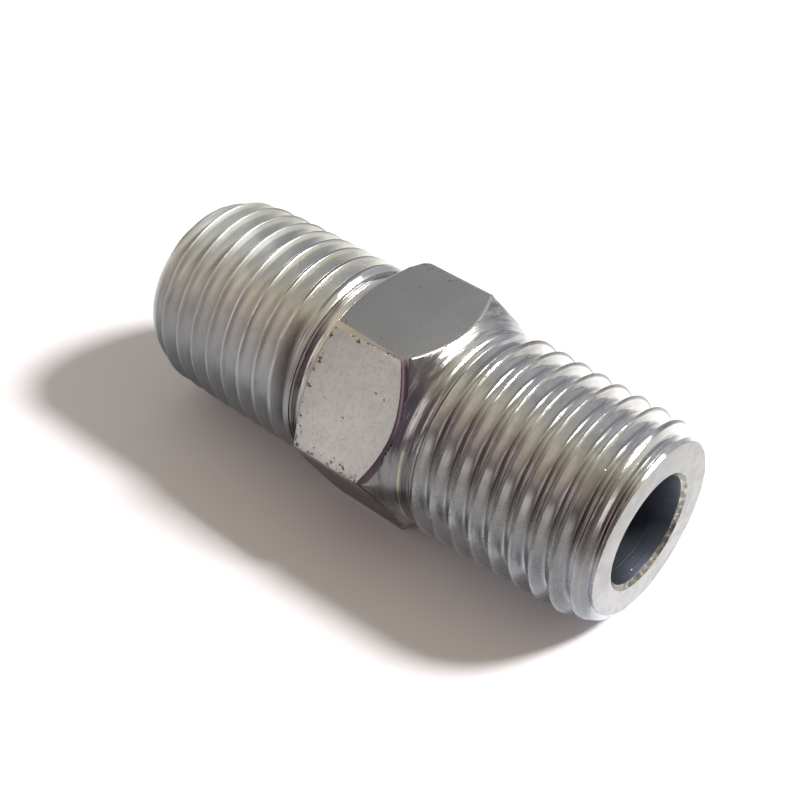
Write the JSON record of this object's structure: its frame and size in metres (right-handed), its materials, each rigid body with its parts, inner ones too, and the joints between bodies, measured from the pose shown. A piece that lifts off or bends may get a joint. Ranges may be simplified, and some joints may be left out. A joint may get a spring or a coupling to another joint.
{
  "type": "hexagon double nipple",
  "caption": "Straight pipe nipple with a central wrench hexagon, taper-threaded shanks on both ends and a through bore.",
  "frame": {"origin": "on the bore's axis, half way along the part", "axes": "+X along the bore towards the end that has the shallow hexagon chamfer, +Z square to the upper hexagon flat"},
  "size_m": [0.0358, 0.0166, 0.0142],
  "materials": {
    "plated_steel": "bright zinc plate over turned and drawn steel"
  },
  "bodies": {
    "root": {"nipple_body": "plated_steel"}
  },
  "joints": []
}
